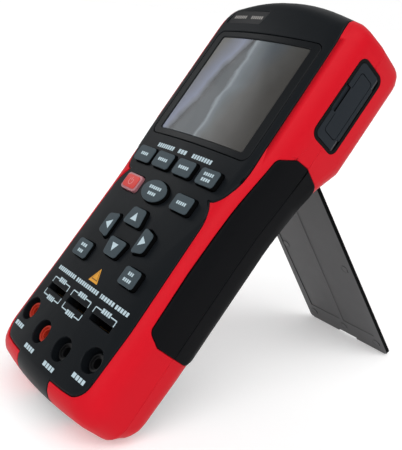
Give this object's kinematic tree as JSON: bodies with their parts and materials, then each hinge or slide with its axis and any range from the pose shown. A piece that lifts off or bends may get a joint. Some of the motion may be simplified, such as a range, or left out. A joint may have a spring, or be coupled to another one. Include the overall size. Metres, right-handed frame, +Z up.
{
  "type": "LCR meter",
  "caption": "Handheld LCR meter leaning on a fold-out back stand, with pressable keys, component test slots, banana sockets, a display window and a hinged side door.",
  "frame": {"origin": "bottom centre of the bounding box, on the surface the meter stands on, with the stand open", "axes": "+X to the meter's right side as its user faces it (the side door's side), -Y towards the user, +Z up; the panel leans back 37 degrees from the vertical"},
  "size_m": [0.0946, 0.1942, 0.1764],
  "materials": {
    "case_black": "fine texture",
    "bumper_red": "satin",
    "grip_rubber": "matt",
    "window": "polished",
    "lcd": "gloss",
    "spring_steel": "plain",
    "name_plate": "satin",
    "board": "lacquered",
    "component_black": "moulded",
    "silicone": "matt",
    "key_slate": "satin",
    "key_red": "satin",
    "key_rim": "translucent",
    "socket_red": "satin",
    "contact_brass": "plated",
    "door_slate": "satin",
    "stand_grey": "satin",
    "cell_jacket": "printed jacket"
  },
  "bodies": {
    "meter": {"front_shell": "case_black", "front_bumper": "bumper_red", "rear_shell": "case_black", "rear_bumper": "bumper_red", "grip_right_front": "grip_rubber", "grip_right_rear": "grip_rubber", "grip_left_front": "grip_rubber", "grip_left_rear": "grip_rubber", "display_lens": "window", "display_surround": "case_black", "lcd_module": "lcd", "lcd_tray": "spring_steel", "name_plate": "name_plate", "main_board": "board", "board_parts": "component_black", "keypad_mat": "silicone", "shield_can": "spring_steel", "buzzer": "component_black", "slot_block": "case_black", "slot_contacts": "contact_brass", "socket_inserts_red": "socket_red", "socket_inserts_black": "case_black", "socket_tubes": "contact_brass", "terminal_board": "board", "usb_frame": "component_black", "door_pin": "spring_steel", "usb_board": "board", "usb_receptacle": "spring_steel", "usb_tongue": "component_black", "stand_pins": "spring_steel", "battery_tray": "component_black", "battery_cells": "cell_jacket", "battery_contacts": "spring_steel", "battery_cover": "case_black", "cover_screw": "spring_steel", "case_screws": "spring_steel", "board_screws": "spring_steel"},
    "key_freq_body": {"key_freq": "key_slate"},
    "key_level_body": {"key_level": "key_slate"},
    "key_speed_body": {"key_speed": "key_slate"},
    "key_secondary_body": {"key_secondary": "key_slate"},
    "key_power_body": {"key_power": "key_red", "power_key_glow": "key_rim"},
    "key_auto_body": {"key_auto": "key_slate"},
    "key_lcrz_body": {"key_lcrz": "key_slate"},
    "key_up_body": {"key_up": "key_slate"},
    "key_down_body": {"key_down": "key_slate"},
    "key_left_body": {"key_left": "key_slate"},
    "key_right_body": {"key_right": "key_slate"},
    "key_hold_body": {"key_hold": "key_slate"},
    "key_relative_body": {"key_relative": "key_slate"},
    "stand_body": {"stand": "stand_grey"},
    "door_body": {"usb_door": "door_slate"}
  },
  "joints": [
    {"name": "key_freq_press", "type": "slide", "parent": "meter", "child": "key_freq_body", "axis": [0, 0.7986, -0.6018], "range_m": [0, 0.0008], "stiffness_N_per_m": 500},
    {"name": "key_level_press", "type": "slide", "parent": "meter", "child": "key_level_body", "axis": [0, 0.7986, -0.6018], "range_m": [0, 0.0008], "stiffness_N_per_m": 500},
    {"name": "key_speed_press", "type": "slide", "parent": "meter", "child": "key_speed_body", "axis": [0, 0.7986, -0.6018], "range_m": [0, 0.0008], "stiffness_N_per_m": 500},
    {"name": "key_secondary_press", "type": "slide", "parent": "meter", "child": "key_secondary_body", "axis": [0, 0.7986, -0.6018], "range_m": [0, 0.0008], "stiffness_N_per_m": 500},
    {"name": "key_power_press", "type": "slide", "parent": "meter", "child": "key_power_body", "axis": [0, 0.7986, -0.6018], "range_m": [0, 0.0008], "stiffness_N_per_m": 500},
    {"name": "key_auto_press", "type": "slide", "parent": "meter", "child": "key_auto_body", "axis": [0, 0.7986, -0.6018], "range_m": [0, 0.0008], "stiffness_N_per_m": 500},
    {"name": "key_lcrz_press", "type": "slide", "parent": "meter", "child": "key_lcrz_body", "axis": [0, 0.7986, -0.6018], "range_m": [0, 0.0008], "stiffness_N_per_m": 500},
    {"name": "key_up_press", "type": "slide", "parent": "meter", "child": "key_up_body", "axis": [0, 0.7986, -0.6018], "range_m": [0, 0.0008], "stiffness_N_per_m": 500},
    {"name": "key_down_press", "type": "slide", "parent": "meter", "child": "key_down_body", "axis": [0, 0.7986, -0.6018], "range_m": [0, 0.0008], "stiffness_N_per_m": 500},
    {"name": "key_left_press", "type": "slide", "parent": "meter", "child": "key_left_body", "axis": [0, 0.7986, -0.6018], "range_m": [0, 0.0008], "stiffness_N_per_m": 500},
    {"name": "key_right_press", "type": "slide", "parent": "meter", "child": "key_right_body", "axis": [0, 0.7986, -0.6018], "range_m": [0, 0.0008], "stiffness_N_per_m": 500},
    {"name": "key_hold_press", "type": "slide", "parent": "meter", "child": "key_hold_body", "axis": [0, 0.7986, -0.6018], "range_m": [0, 0.0008], "stiffness_N_per_m": 500},
    {"name": "key_relative_press", "type": "slide", "parent": "meter", "child": "key_relative_body", "axis": [0, 0.7986, -0.6018], "range_m": [0, 0.0008], "stiffness_N_per_m": 500},
    {"name": "stand_fold", "type": "hinge", "parent": "meter", "child": "stand_body", "pos_m": [0, 0.01952, 0.10978], "axis": [-1, 0, 0], "range_deg": [0, 72.14]},
    {"name": "usb_door_swing", "type": "hinge", "parent": "meter", "child": "door_body", "pos_m": [0.0457, 0.02377, 0.13288], "axis": [0, 0.6018, 0.7986], "range_deg": [0, 95]}
  ]
}
